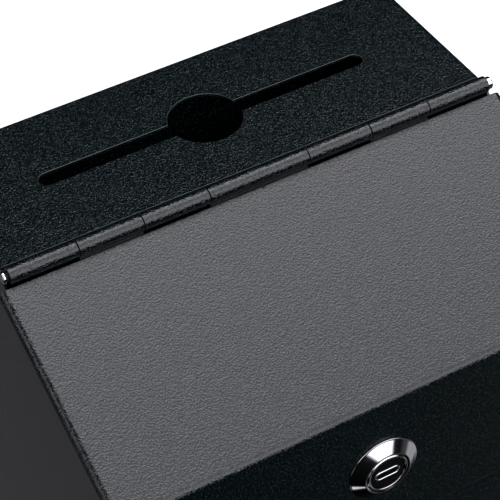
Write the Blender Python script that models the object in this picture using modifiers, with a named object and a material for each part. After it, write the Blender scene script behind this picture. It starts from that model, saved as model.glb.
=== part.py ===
"""Folded-steel donation box: slotted top plate, hinged sloping lid with a front flap, cam lock."""
import math

import bmesh
import bpy
from mathutils import Matrix, Vector

MM = 0.001

# sheet and clearances
SHEET = 1.0
FIT = 0.3

# body, outer sizes
BODY_HALF = 90.2
TOP_Z = 213.0
BACK_Y = 73.75
FRONT_Y = -68.25
BASE_Z = 3.0
BODY_BEND = 2.6
PLATE_FRONT_Y = 11.15

# money slot and coin hole in the top plate
SLOT_Y = 41.55
SLOT_LENGTH = 122.8
SLOT_WIDTH = 6.4
COIN_RADIUS = 12.85

# hinge
HINGE_Y = 5.9
HINGE_Z = 213.6
BARREL_RADIUS = 2.9
PIN_RADIUS = 1.6
HINGE_HALF = 88.4
SEAMS = (-64.8, -42.1, -18.3, 18.3, 42.1, 64.8)
SEAM_GAP = 0.4
LEAF_REACH = 20.0

# lid
LID_SLOPE = math.radians(25.31)
LID_HALF = 93.0
LID_BACK = 3.5
LID_DROP = 1.57
FLAP_Y = -70.45
FLAP_BOTTOM_Z = 115.8
FLANGE = 12.7
LID_BEND = 2.9
NOSE_BEND = 3.3
LID_GAP = 1.2

# front panel
SHELF_Z = 130.0
SHELF_BACK_Y = -53.55
LIP_BOTTOM_Z = 120.0

# lock, axis along Y
LOCK_Z = 145.8
BEZEL_RADIUS = 12.6
HOUSING_RADIUS = 9.25
HOUSING_DEPTH = 16.0
PLUG_RADIUS = 6.3
HEAD_RADIUS = 7.6
CAM_REACH = 24.3
WAFER_Z = (-4.9, -6.4, -7.9, -9.4, -10.9)

# wall-mounting keyholes
KEYHOLE_X = 60.0
KEYHOLE_Z = (45.0, 150.0)

FORWARD = Vector((0.0, -math.cos(LID_SLOPE), -math.sin(LID_SLOPE)))
NORMAL = Vector((0.0, -math.sin(LID_SLOPE), math.cos(LID_SLOPE)))
HINGE = Vector((0.0, HINGE_Y, HINGE_Z))


def clear_scene():
    for obj in list(bpy.data.objects):
        bpy.data.objects.remove(obj, do_unlink=True)


clear_scene()
PARTS = bpy.data.collections.new("donation_box")
CUTTERS = bpy.data.collections.new("donation_box_cutters")
bpy.context.scene.collection.children.link(PARTS)
bpy.context.scene.collection.children.link(CUTTERS)


def make_material(name, colour, roughness, metallic):
    mat = bpy.data.materials.new(name)
    mat.use_nodes = True
    shader = mat.node_tree.nodes["Principled BSDF"]
    shader.inputs["Base Color"].default_value = (*colour, 1.0)
    shader.inputs["Roughness"].default_value = roughness
    shader.inputs["Metallic"].default_value = metallic
    return mat


MATERIALS = {
    "powder": make_material("powder_coat_black", (0.018, 0.021, 0.022), 0.42, 0.0),
    "chrome": make_material("chrome_plate", (0.82, 0.83, 0.84), 0.1, 1.0),
    "steel": make_material("zinc_plated_steel", (0.6, 0.61, 0.6), 0.32, 1.0),
    "black": make_material("black_lock_face", (0.01, 0.01, 0.011), 0.25, 0.0),
    "brass": make_material("wafer_brass", (0.72, 0.52, 0.24), 0.3, 1.0),
    "rubber": make_material("foot_rubber", (0.03, 0.03, 0.03), 0.8, 0.0),
    "foam": make_material("pad_foam", (0.05, 0.05, 0.052), 0.95, 0.0),
}


def add_part(name, data, material, parent=None, smooth=False):
    obj = bpy.data.objects.new(name, data)
    PARTS.objects.link(obj)
    data.materials.clear()
    data.materials.append(MATERIALS[material])
    if parent is not None:
        obj.parent = parent
    if smooth:
        for face in data.polygons:
            face.use_smooth = True
    return obj


def add_cutter(name, data, parent=None):
    obj = bpy.data.objects.new(name, data)
    CUTTERS.objects.link(obj)
    obj.display_type = "WIRE"
    obj.hide_render = True
    if parent is not None:
        obj.parent = parent
    return obj


def cut(obj, cutter):
    mod = obj.modifiers.new("cut_" + cutter.name, "BOOLEAN")
    mod.operation = "DIFFERENCE"
    mod.solver = "EXACT"
    mod.object = cutter


def to_mesh(name, bm):
    bmesh.ops.recalc_face_normals(bm, faces=bm.faces[:])
    mesh = bpy.data.meshes.new(name)
    bm.to_mesh(mesh)
    bm.free()
    return mesh


def box_mesh(name, low, high):
    bm = bmesh.new()
    bmesh.ops.create_cube(bm, size=1.0)
    low = Vector(low) * MM
    high = Vector(high) * MM
    size = high - low
    bmesh.ops.scale(bm, vec=size, verts=bm.verts[:])
    bmesh.ops.translate(bm, vec=(low + high) / 2, verts=bm.verts[:])
    return to_mesh(name, bm)


def cylinder_mesh(name, radius, low, high, segments, turn=None):
    bm = bmesh.new()
    bmesh.ops.create_cone(
        bm,
        cap_ends=True,
        segments=segments,
        radius1=radius * MM,
        radius2=radius * MM,
        depth=(high - low) * MM,
    )
    bmesh.ops.translate(bm, vec=(0.0, 0.0, (low + high) / 2 * MM), verts=bm.verts[:])
    if turn is not None:
        bmesh.ops.transform(bm, matrix=turn, verts=bm.verts[:])
    return to_mesh(name, bm)


def outline_mesh(name, outline, low, high):
    """Closed flat outline in XY, in millimetres, raised from low to high."""
    bm = bmesh.new()
    bottom = [bm.verts.new((x * MM, y * MM, low * MM)) for x, y in outline]
    face = bm.faces.new(bottom)
    made = bmesh.ops.extrude_face_region(bm, geom=[face])
    verts = [v for v in made["geom"] if isinstance(v, bmesh.types.BMVert)]
    bmesh.ops.translate(bm, vec=(0.0, 0.0, (high - low) * MM), verts=verts)
    return to_mesh(name, bm)


def arc_points(centre, radius, start, end, steps):
    points = []
    for i in range(steps + 1):
        angle = math.radians(start + (end - start) * i / steps)
        points.append((centre[0] + radius * math.cos(angle), centre[1] + radius * math.sin(angle)))
    return points


def fillet(points, radii, steps=6):
    """Round the inner corners of an open path."""
    out = [points[0]]
    for i in range(1, len(points) - 1):
        here = Vector(points[i])
        back = (Vector(points[i - 1]) - here).normalized()
        ahead = (Vector(points[i + 1]) - here).normalized()
        half = back.angle(ahead) / 2
        radius = radii[i - 1]
        reach = radius / math.tan(half)
        centre = here + (back + ahead).normalized() * (radius / math.sin(half))
        first = here + back * reach - centre
        sweep = math.pi - 2 * half
        sign = 1.0 if (-back).cross(ahead) > 0 else -1.0
        for k in range(steps + 1):
            angle = sign * sweep * k / steps
            turned = Vector((
                first.x * math.cos(angle) - first.y * math.sin(angle),
                first.x * math.sin(angle) + first.y * math.cos(angle),
            ))
            out.append(tuple(centre + turned))
    out.append(points[-1])
    return out


def strip_mesh(name, path, low, high, along):
    """Open surface: a path swept straight along X or Y."""
    bm = bmesh.new()
    rows = []
    for position in (low, high):
        row = []
        for u, v in path:
            point = (position, u, v) if along == "X" else (u, position, v)
            row.append(bm.verts.new(Vector(point) * MM))
        rows.append(row)
    for i in range(len(path) - 1):
        bm.faces.new((rows[0][i], rows[0][i + 1], rows[1][i + 1], rows[1][i]))
    mesh = bpy.data.meshes.new(name)
    bm.to_mesh(mesh)
    bm.free()
    return mesh


def thicken(obj, thickness=SHEET):
    mod = obj.modifiers.new("sheet", "SOLIDIFY")
    mod.thickness = thickness * MM
    mod.offset = -1.0
    mod.use_even_offset = True


def turned_part(name, profile, material, parent=None, steps=40):
    """Profile of (radius, height) in millimetres turned about Z."""
    bm = bmesh.new()
    verts = [bm.verts.new((r * MM, 0.0, z * MM)) for r, z in profile]
    for a, b in zip(verts, verts[1:]):
        bm.edges.new((a, b))
    mesh = bpy.data.meshes.new(name)
    bm.to_mesh(mesh)
    bm.free()
    obj = add_part(name, mesh, material, parent)
    mod = obj.modifiers.new("turn", "SCREW")
    mod.axis = "Z"
    mod.steps = steps
    mod.render_steps = steps
    mod.use_merge_vertices = True
    mod.merge_threshold = 0.00001
    mod.use_smooth_shade = True
    return obj


def add_empty(name, location, parent=None):
    obj = bpy.data.objects.new(name, None)
    obj.empty_display_size = 0.01
    PARTS.objects.link(obj)
    obj.location = Vector(location) * MM
    if parent is not None:
        obj.parent = parent
    return obj


def lid_point(along, above):
    """Millimetre point in the YZ plane, measured from the hinge axis on the lid's slope."""
    point = HINGE + FORWARD * along + NORMAL * above
    return (point.y, point.z)


def slot_outline(length, width, steps=12):
    half = length / 2 - width / 2
    right = arc_points((half, 0.0), width / 2, -90, 90, steps)
    left = arc_points((-half, 0.0), width / 2, 90, 270, steps)
    return right + left


def keyhole_outline():
    """Large entry below, narrow neck above."""
    neck = 2.2
    entry = 4.2
    angle = math.degrees(math.asin(neck / entry))
    low = arc_points((0.0, 0.0), entry, 90 + angle, 450 - angle, 16)
    top = arc_points((0.0, 9.0), neck, 0, 180, 8)
    return low + top


def make_casing():
    """Top plate and both side walls, one folded sheet."""
    path = fillet(
        [(-BODY_HALF, BASE_Z), (-BODY_HALF, TOP_Z), (BODY_HALF, TOP_Z), (BODY_HALF, BASE_Z)],
        (BODY_BEND, BODY_BEND),
    )
    casing = add_part("casing", strip_mesh("casing", path, FRONT_Y, BACK_Y, "Y"), "powder")
    thicken(casing)
    drop = LID_DROP + SHEET + LID_GAP
    slope = math.tan(LID_SLOPE)
    edge = lid_point(0.0, -drop)
    mouth_z = edge[1] + (PLATE_FRONT_Y - edge[0]) * slope
    far_y = FRONT_Y - 20.0
    far_z = mouth_z - (PLATE_FRONT_Y - far_y) * slope
    profile = [
        (PLATE_FRONT_Y, TOP_Z + 30.0),
        (PLATE_FRONT_Y, mouth_z),
        (far_y, far_z),
        (far_y, TOP_Z + 30.0),
    ]
    wedge = add_cutter("mouth", outline_mesh("mouth", profile, -120.0, 120.0))
    wedge.matrix_world = Matrix(((0, 0, 1, 0), (1, 0, 0, 0), (0, 1, 0, 0), (0, 0, 0, 1)))
    cut(casing, wedge)
    slot_mesh = outline_mesh("money_slot", slot_outline(SLOT_LENGTH, SLOT_WIDTH), -6.0, 6.0)
    slot = add_cutter("money_slot", slot_mesh)
    slot.location = Vector((0.0, SLOT_Y, TOP_Z)) * MM
    cut(casing, slot)
    coin = add_cutter("coin_hole", cylinder_mesh("coin_hole", COIN_RADIUS, -8.0, 8.0, 64))
    coin.location = Vector((0.0, SLOT_Y, TOP_Z)) * MM
    cut(casing, coin)


def make_panels():
    inner = BODY_HALF - SHEET - FIT
    front_path = fillet(
        [
            (SHELF_BACK_Y, LIP_BOTTOM_Z),
            (SHELF_BACK_Y, SHELF_Z),
            (FRONT_Y + FIT, SHELF_Z),
            (FRONT_Y + FIT, BASE_Z + SHEET + FIT),
        ],
        (1.8, 1.8),
    )
    front = add_part("front_panel", strip_mesh("front_panel", front_path, -inner, inner, "X"), "powder")
    thicken(front)

    top = TOP_Z - SHEET - 0.95
    back_path = fillet(
        [(BACK_Y, BASE_Z + SHEET + FIT), (BACK_Y, top), (BACK_Y - 14.0, top)],
        (1.8,),
    )
    back = add_part("back_panel", strip_mesh("back_panel", back_path, -inner, inner, "X"), "powder")
    thicken(back)
    for side in (-1, 1):
        for level, height in enumerate(KEYHOLE_Z):
            tag = "keyhole_%s%d" % ("l" if side < 0 else "r", level + 1)
            hole = add_cutter(tag, outline_mesh(tag, keyhole_outline(), -6.0, 6.0))
            hole.rotation_euler = (math.radians(90), 0.0, 0.0)
            hole.location = Vector((side * KEYHOLE_X, BACK_Y, height)) * MM
            cut(back, hole)

    rise = 14.0
    front_in = FRONT_Y + FIT + SHEET + FIT
    back_in = BACK_Y - SHEET - FIT
    floor_path = fillet(
        [
            (front_in, BASE_Z + rise),
            (front_in, BASE_Z),
            (back_in, BASE_Z),
            (back_in, BASE_Z + rise),
        ],
        (1.8, 1.8),
    )
    floor = add_part("floor_panel", strip_mesh("floor_panel", floor_path, -inner, inner, "X"), "powder")
    thicken(floor)


def make_body_leaf():
    roll = arc_points((HINGE_Y, HINGE_Z), BARREL_RADIUS, -25.0, 270.0, 26)
    path = roll + [(HINGE_Y + LEAF_REACH, HINGE_Z - BARREL_RADIUS)]
    leaf_mesh = strip_mesh("hinge_leaf_body", path, -HINGE_HALF, HINGE_HALF, "X")
    leaf = add_part("hinge_leaf_body", leaf_mesh, "powder")
    thicken(leaf)
    reach = BARREL_RADIUS + FIT
    for i in (0, 2, 4):
        tag = "body_notch_%d" % (i // 2 + 1)
        low = (SEAMS[i] - SEAM_GAP / 2, -8.0, -6.0)
        high = (SEAMS[i + 1] + SEAM_GAP / 2, reach, 6.0)
        notch = add_cutter(tag, box_mesh(tag, low, high))
        notch.location = HINGE * MM
        cut(leaf, notch)


def make_lid_leaf(parent):
    low = -(LID_DROP + SHEET + FIT + SHEET)
    shape = fillet(
        [(LEAF_REACH, low), (3.1, low), (1.1, -BARREL_RADIUS), (0.0, -BARREL_RADIUS)],
        (1.4, 1.4),
        4,
    )
    path = [lid_point(s, p) for s, p in shape[:-1]]
    tilt = math.degrees(LID_SLOPE)
    path += arc_points((HINGE_Y, HINGE_Z), BARREL_RADIUS, 270.0 + tilt, 565.0 + tilt, 26)
    local = [(y - HINGE_Y, z - HINGE_Z) for y, z in path]
    mesh = strip_mesh("hinge_leaf_lid", local, -HINGE_HALF, HINGE_HALF, "X")
    leaf = add_part("hinge_leaf_lid", mesh, "powder", parent)
    thicken(leaf)
    spans = (
        (-HINGE_HALF - 5.0, SEAMS[0]),
        (SEAMS[1], SEAMS[2]),
        (SEAMS[3], SEAMS[4]),
        (SEAMS[5], HINGE_HALF + 5.0),
    )
    for i, (left, right) in enumerate(spans):
        tag = "lid_notch_%d" % (i + 1)
        low_corner = (left - SEAM_GAP / 2, -BARREL_RADIUS - FIT, -8.0)
        high_corner = (right + SEAM_GAP / 2, 8.0, 8.0)
        notch = add_cutter(tag, box_mesh(tag, low_corner, high_corner), parent)
        notch.rotation_euler = (LID_SLOPE, 0.0, 0.0)
        cut(leaf, notch)


def make_pin():
    turn = math.radians(-90)
    head = [
        (0.0, 90.9), (0.9, 90.75), (1.6, 90.35), (2.05, 89.7), (2.2, 89.1), (2.2, 88.7),
        (PIN_RADIUS, 88.7), (PIN_RADIUS, -90.0), (0.0, -90.0),
    ]
    pin = turned_part("hinge_pin", head, "chrome", steps=24)
    pin.location = HINGE * MM
    pin.rotation_euler = (0.0, turn, 0.0)
    bore = PIN_RADIUS + 0.15
    cap = [
        (0.0, 90.9), (0.9, 90.75), (1.6, 90.35), (2.05, 89.7), (2.2, 89.1), (2.2, 88.7),
        (bore, 88.7), (bore, 90.15), (0.0, 90.15),
    ]
    end = turned_part("hinge_pin_cap", cap, "chrome", steps=24)
    end.location = HINGE * MM
    end.rotation_euler = (0.0, -turn, 0.0)


def make_lid_panel(parent):
    """Sloping top, front flap and side flanges as one folded sheet."""
    cos = math.cos(LID_SLOPE)
    sin = math.sin(LID_SLOPE)
    top_y, top_z = lid_point(LID_BACK, -LID_DROP)
    nose_z = top_z - (top_y - FLAP_Y) * math.tan(LID_SLOPE)
    outer = fillet(
        [(top_y, top_z), (FLAP_Y, nose_z), (FLAP_Y, FLAP_BOTTOM_Z)],
        (NOSE_BEND,),
        6,
    )
    inner_y = FLAP_Y + FLANGE
    root = (top_y + sin * FLANGE, top_z - cos * FLANGE)
    crook_z = root[1] - (root[0] - inner_y) * math.tan(LID_SLOPE)
    outline = outer + [(inner_y, FLAP_BOTTOM_Z), (inner_y, crook_z), root]
    bm = bmesh.new()
    sides = []
    for x in (-LID_HALF, LID_HALF):
        sides.append([bm.verts.new(Vector((x, y - HINGE_Y, z - HINGE_Z)) * MM) for y, z in outline])
    count = len(outline)
    keep = len(outer) - 1
    rim = []
    for i in range(count):
        j = (i + 1) % count
        bm.faces.new((sides[0][i], sides[0][j], sides[1][j], sides[1][i]))
        if i < keep:
            rim.append((sides[0][i], sides[0][j]))
            rim.append((sides[1][i], sides[1][j]))
    bm.faces.new(list(reversed(sides[0])))
    bm.faces.new(sides[1])
    bmesh.ops.recalc_face_normals(bm, faces=bm.faces[:])
    edges = [bm.edges.get(pair) for pair in rim]
    bmesh.ops.bevel(
        bm, geom=edges, offset=LID_BEND * MM, segments=6, profile=0.5, affect="EDGES", clamp_overlap=False
    )
    bm.normal_update()
    inward = (-FORWARD, -NORMAL, Vector((0.0, 1.0, 0.0)), Vector((0.0, 0.0, -1.0)))
    surplus = [f for f in bm.faces if any(f.normal.dot(way) > 0.999 for way in inward)]
    bmesh.ops.delete(bm, geom=surplus, context="FACES")
    mesh = bpy.data.meshes.new("lid_panel")
    bm.to_mesh(mesh)
    bm.free()
    lid = add_part("lid_panel", mesh, "powder", parent)
    thicken(lid)
    turn = Matrix.Rotation(math.radians(90), 4, "X")
    tag = "lock_opening"
    hole = add_cutter(tag, cylinder_mesh(tag, HOUSING_RADIUS + 0.35, -5.0, 5.0, 48, turn), parent)
    hole.location = Vector((0.0, FLAP_Y - HINGE_Y, LOCK_Z - HINGE_Z)) * MM
    cut(lid, hole)


def make_housing(parent):
    """Lock head and barrel, local Z pointing out of the flap."""
    profile = [
        (7.9, 3.05), (8.15, 3.2), (8.5, 3.2), (12.2, 0.65), (BEZEL_RADIUS, 0.5), (BEZEL_RADIUS, FIT),
        (HOUSING_RADIUS, FIT), (HOUSING_RADIUS, -HOUSING_DEPTH), (PLUG_RADIUS + FIT, -HOUSING_DEPTH),
        (PLUG_RADIUS + FIT, -0.9), (7.9, -0.9), (7.9, 3.05),
    ]
    housing = turned_part("lock_housing", profile, "chrome", parent, steps=48)
    for side, tag in ((-1, "flat_left"), (1, "flat_right")):
        low = (8.3, -12.0, -HOUSING_DEPTH - 2.0)
        high = (12.0, 12.0, -1.4)
        if side < 0:
            low, high = (-12.0, -12.0, low[2]), (-8.3, 12.0, high[2])
        flat = add_cutter(tag, box_mesh(tag, low, high), parent)
        cut(housing, flat)


def make_plug(parent):
    profile = [
        (0.0, 1.6), (6.6, 1.6), (6.6, 3.15), (6.95, 3.3), (7.35, 3.3), (HEAD_RADIUS, 3.1),
        (HEAD_RADIUS, -0.6), (PLUG_RADIUS, -0.6), (PLUG_RADIUS, -17.5),
        (4.3, -17.5), (4.3, -20.0), (0.0, -20.0),
    ]
    plug = turned_part("lock_plug", profile, "chrome", parent, steps=40)
    chamber_mesh = box_mesh("shutter_chamber", (-5.3, -2.9, -3.9), (5.3, 3.3, 4.0))
    chamber = add_cutter("shutter_chamber", chamber_mesh, parent)
    keyway = add_cutter("keyway", box_mesh("keyway", (-4.2, -1.25, -11.7), (4.2, 1.25, -3.0)), parent)
    screw = add_cutter("screw_bore", cylinder_mesh("screw_bore", 2.7, -24.0, -12.5, 20), parent)
    cut(plug, chamber)
    cut(plug, keyway)
    for i, z in enumerate(WAFER_Z):
        tag = "wafer_slot_%d" % (i + 1)
        cut(plug, add_cutter(tag, box_mesh(tag, (-9.0, -2.9, z - 0.5), (9.0, 2.9, z + 0.5)), parent))
    cut(plug, screw)
    for side, tag in ((-1, "tail_flat_low"), (1, "tail_flat_high")):
        low = (-9.0, 3.3, -24.0)
        high = (9.0, 9.0, -17.5)
        if side < 0:
            low, high = (-9.0, -9.0, low[2]), (9.0, -3.3, high[2])
        cut(plug, add_cutter(tag, box_mesh(tag, low, high), parent))


def make_face(parent):
    face = add_part("lock_face", cylinder_mesh("lock_face", 6.3, 1.9, 2.8, 40), "black", parent)
    slot = outline_mesh("key_slot", slot_outline(8.6, 2.4, 8), -1.0, 5.0)
    cut(face, add_cutter("key_slot", slot, parent))


def make_shutter(parent):
    """Flap behind the key slot, swinging inwards about its upper edge."""
    hub = 0.8
    flap = box_mesh("lock_shutter", (-4.7, -4.1, -0.25), (4.7, 0.0, 0.3))
    shutter = add_part("lock_shutter", flap, "steel", parent)
    turn = Matrix.Rotation(math.radians(90), 4, "Y")
    roll = add_cutter("shutter_roll", cylinder_mesh("shutter_roll", hub, -3.0, 3.0, 16, turn), parent)
    trim = add_cutter("shutter_trim", box_mesh("shutter_trim", (3.0, -1.1, -2.0), (6.0, 2.0, 2.0)), parent)
    trim_mesh = box_mesh("shutter_trim_left", (-6.0, -1.1, -2.0), (-3.0, 2.0, 2.0))
    trim_left = add_cutter("shutter_trim_left", trim_mesh, parent)
    bore = add_cutter("shutter_bore", cylinder_mesh("shutter_bore", 0.5, -8.0, 8.0, 12, turn), parent)
    join = shutter.modifiers.new("join_roll", "BOOLEAN")
    join.operation = "UNION"
    join.solver = "EXACT"
    join.object = roll
    cut(shutter, trim)
    cut(shutter, trim_left)
    cut(shutter, bore)


def make_shutter_pin(parent):
    turn = Matrix.Rotation(math.radians(90), 4, "Y")
    mesh = cylinder_mesh("shutter_pin", 0.3, -5.1, 5.1, 12, turn)
    add_part("shutter_pin", mesh, "steel", parent)
    curve = bpy.data.curves.new("shutter_spring", "CURVE")
    curve.dimensions = "3D"
    curve.bevel_depth = 0.12 * MM
    curve.bevel_resolution = 1
    curve.use_fill_caps = True
    spline = curve.splines.new("POLY")
    turns = 3.0
    steps = 36
    spline.points.add(steps)
    for i in range(steps + 1):
        angle = 2 * math.pi * turns * i / steps
        x = 3.35 + 1.2 * i / steps
        spline.points[i].co = (x * MM, 0.62 * math.cos(angle) * MM, 0.62 * math.sin(angle) * MM, 1.0)
    add_part_curve("shutter_spring", curve, "steel", parent)


def add_part_curve(name, curve, material, parent):
    obj = bpy.data.objects.new(name, curve)
    PARTS.objects.link(obj)
    curve.materials.append(MATERIALS[material])
    obj.parent = parent
    return obj


def make_wafers(parent):
    for i, z in enumerate(WAFER_Z):
        name = "wafer_%d" % (i + 1)
        wafer = add_part(name, box_mesh(name, (-5.8, -2.6, -0.35), (5.8, 2.6, 0.35)), "brass", parent)
        wafer.location = (0.0, 0.0, z * MM)
        tag = "wafer_window_%d" % (i + 1)
        shift = (0.35, -0.3, 0.15, -0.4, 0.25)[i]
        window = add_cutter(tag, box_mesh(tag, (-3.9 + shift, -1.4, -2.0), (3.9 + shift, 1.4, 2.0)), wafer)
        cut(wafer, window)


def make_lock_fixings(parent):
    bore = HOUSING_RADIUS + FIT
    washer = add_part("lock_washer", cylinder_mesh("lock_washer", 12.0, -2.1, -1.3, 40), "steel", parent)
    cut(washer, add_cutter("washer_bore", cylinder_mesh("washer_bore", bore, -4.0, 1.0, 40), parent))
    nut = add_part("lock_nut", cylinder_mesh("lock_nut", 12.7, -6.6, -2.4, 6), "steel", parent)
    cut(nut, add_cutter("nut_bore", cylinder_mesh("nut_bore", bore, -9.0, 1.0, 40), parent))


def make_cam(parent):
    hub = arc_points((0.0, 0.0), 7.5, 90, 270, 14)
    tip = arc_points((CAM_REACH - 4.0, 0.0), 4.0, -60, 60, 8)
    outline = hub + [(6.0, -5.5)] + tip + [(6.0, 5.5)]
    cam = add_part("lock_cam", outline_mesh("lock_cam", outline, -19.8, -17.8), "steel", parent)
    bm = bmesh.new()
    verts = []
    for x, y in arc_points((0.0, 0.0), 4.6, -50, 50, 8) + arc_points((0.0, 0.0), 4.6, 130, 230, 8):
        y = max(-3.6, min(3.6, y))
        verts.append(bm.verts.new((x * MM, y * MM, -22.0 * MM)))
    face = bm.faces.new(verts)
    made = bmesh.ops.extrude_face_region(bm, geom=[face])
    moved = [v for v in made["geom"] if isinstance(v, bmesh.types.BMVert)]
    bmesh.ops.translate(bm, vec=(0.0, 0.0, 6.0 * MM), verts=moved)
    cut(cam, add_cutter("cam_opening", to_mesh("cam_opening", bm), parent))


def make_cam_fixings(parent):
    washer = add_part("cam_washer", cylinder_mesh("cam_washer", 6.4, -21.1, -20.3, 32), "steel", parent)
    bore_mesh = cylinder_mesh("cam_washer_bore", 2.7, -24.0, -18.0, 24)
    cut(washer, add_cutter("cam_washer_bore", bore_mesh, parent))
    head = [
        (0.0, -24.2), (3.4, -24.2), (4.4, -23.6), (4.6, -22.8),
        (4.6, -21.4), (2.4, -21.4), (2.4, -13.0), (0.0, -13.0),
    ]
    screw = turned_part("cam_screw", list(reversed(head)), "steel", parent, steps=24)
    for i in range(2):
        tag = "screw_cross_%d" % (i + 1)
        cross = add_cutter(tag, box_mesh(tag, (-2.6, -0.5, -26.0), (2.6, 0.5, -22.8)), parent)
        cross.rotation_euler = (0.0, 0.0, math.radians(90.0 * i))
        cut(screw, cross)


def make_lid():
    lid = add_empty("lid_frame", (0.0, HINGE_Y, HINGE_Z))
    make_lid_panel(lid)
    make_lid_leaf(lid)
    lock = add_empty("lock_frame", (0.0, FLAP_Y - HINGE_Y, LOCK_Z - HINGE_Z), lid)
    lock.rotation_euler = (math.radians(90), 0.0, 0.0)
    make_housing(lock)
    make_lock_fixings(lock)
    core = add_empty("plug_frame", (0.0, 0.0, 0.0), lock)
    make_plug(core)
    make_face(core)
    make_wafers(core)
    make_cam(core)
    make_cam_fixings(core)
    pivot = add_empty("shutter_frame", (0.0, 2.3, 0.75), core)
    make_shutter(pivot)
    make_shutter_pin(pivot)


def make_pads_and_feet():
    for side, tag in ((-1, "left"), (1, "right")):
        name = "rattle_pad_" + tag
        x = side * 70.0
        low = (x - 7.0, FRONT_Y - 0.9, 119.0)
        high = (x + 7.0, FRONT_Y, 126.0)
        add_part(name, box_mesh(name, low, high), "foam")
    profile = [(0.0, 0.0), (6.0, 0.0), (6.5, 0.5), (7.0, BASE_Z - FIT), (0.0, BASE_Z - FIT)]
    places = ((-74.0, -52.35, "front_left"), (74.0, -52.35, "front_right"),
              (-74.0, 57.65, "back_left"), (74.0, 57.65, "back_right"))
    for x, y, tag in places:
        foot = turned_part("foot_" + tag, list(reversed(profile)), "rubber", steps=24)
        foot.location = Vector((x, y, 0.0)) * MM


make_casing()
make_panels()
make_body_leaf()
make_pin()
make_lid()
make_pads_and_feet()
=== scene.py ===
import math

import bmesh
import bpy
from mathutils import Euler, Matrix, Vector


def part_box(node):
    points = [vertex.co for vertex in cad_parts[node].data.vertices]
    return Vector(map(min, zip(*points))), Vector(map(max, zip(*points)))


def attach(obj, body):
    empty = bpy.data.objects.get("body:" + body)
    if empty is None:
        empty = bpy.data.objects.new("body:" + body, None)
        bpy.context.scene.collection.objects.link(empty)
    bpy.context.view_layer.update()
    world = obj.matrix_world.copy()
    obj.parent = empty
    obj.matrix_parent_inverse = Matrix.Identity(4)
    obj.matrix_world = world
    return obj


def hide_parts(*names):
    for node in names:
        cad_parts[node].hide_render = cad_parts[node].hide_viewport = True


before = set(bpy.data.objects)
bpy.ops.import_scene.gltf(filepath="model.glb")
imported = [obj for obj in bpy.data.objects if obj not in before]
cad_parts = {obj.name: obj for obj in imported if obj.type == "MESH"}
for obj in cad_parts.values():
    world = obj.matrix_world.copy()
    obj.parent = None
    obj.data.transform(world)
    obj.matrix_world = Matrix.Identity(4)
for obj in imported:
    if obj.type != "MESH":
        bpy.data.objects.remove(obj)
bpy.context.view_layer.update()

# A steel donation box: folded casing, hinged sloping lid with a front flap, and a cam lock in the flap.
# X runs along the hinge, -Y faces the front, +Z is up.
# Lengths are millimetres, except in values handed to node trees, which are metres.

MM = 0.001

HINGE_Y = 5.9
HINGE_Z = 213.6
HINGE_HALF = 88.4
PIN_HEAD = 2.2
PIN_SHANK = 178.0
DOME_HEIGHT = 0.95
FLAP_Y = -70.45
LOCK_Z = 145.8
BEZEL_RADIUS = 12.6
THREAD_RADIUS = 9.25
THREAD_PITCH = 1.0
HEAD_RADIUS = 7.6
PLUG_RADIUS = 6.3
KEY_HALF = 4.2
KEY_THICK = 1.25
SLOT_FACE = 2.8
GRAIN_HEIGHT = 0.0002
SCUFF_DEPTH = 0.00002

LID_SLOPE = math.radians(25.31)
LID_FORWARD = Vector((0.0, -math.cos(LID_SLOPE), -math.sin(LID_SLOPE)))
LID_NORMAL = Vector((0.0, -math.sin(LID_SLOPE), math.cos(LID_SLOPE)))

LOCK_CENTRE = Vector((0.0, FLAP_Y, LOCK_Z)) * MM
LOCK_PLACE = Matrix.Translation(LOCK_CENTRE) @ Matrix.Rotation(math.radians(90), 4, "X")

WORKSHOP = bpy.data.collections.new("donation_box_pieces")
bpy.context.scene.collection.children.link(WORKSHOP)


# ---------------------------------------------------------------- node helpers


def wire(tree, start, end):
    tree.links.new(start, end)


def math_node(tree, kind, first, second=None, third=None, clamp=False):
    node = tree.nodes.new("ShaderNodeMath")
    node.operation = kind
    node.use_clamp = clamp
    for slot, value in zip(node.inputs, (first, second, third)):
        if value is None:
            continue
        if isinstance(value, (int, float)):
            slot.default_value = value
        else:
            wire(tree, value, slot)
    return node.outputs[0]


def spread(tree, value, low, high, to_low=0.0, to_high=1.0, kind="LINEAR"):
    """Map a value from one range to another, clamped."""
    node = tree.nodes.new("ShaderNodeMapRange")
    node.interpolation_type = kind
    wire(tree, value, node.inputs["Value"])
    for name, number in (("From Min", low), ("From Max", high), ("To Min", to_low), ("To Max", to_high)):
        if isinstance(number, (int, float)):
            node.inputs[name].default_value = number
        else:
            wire(tree, number, node.inputs[name])
    return node.outputs["Result"]


def mix_colour(tree, factor, first, second):
    node = tree.nodes.new("ShaderNodeMix")
    node.data_type = "RGBA"
    for slot, value in zip((node.inputs[0], node.inputs[6], node.inputs[7]), (factor, first, second)):
        if isinstance(value, (int, float)):
            slot.default_value = value
        elif isinstance(value, tuple):
            slot.default_value = (*value, 1.0)
        else:
            wire(tree, value, slot)
    return node.outputs[2]


def noise(tree, where, scale, detail=2.0, roughness=0.5, distortion=0.0):
    node = tree.nodes.new("ShaderNodeTexNoise")
    wire(tree, where, node.inputs["Vector"])
    node.inputs["Detail"].default_value = detail
    node.inputs["Roughness"].default_value = roughness
    node.inputs["Distortion"].default_value = distortion
    if isinstance(scale, (int, float)):
        node.inputs["Scale"].default_value = scale
    else:
        wire(tree, scale, node.inputs["Scale"])
    return node.outputs["Fac"]


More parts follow.
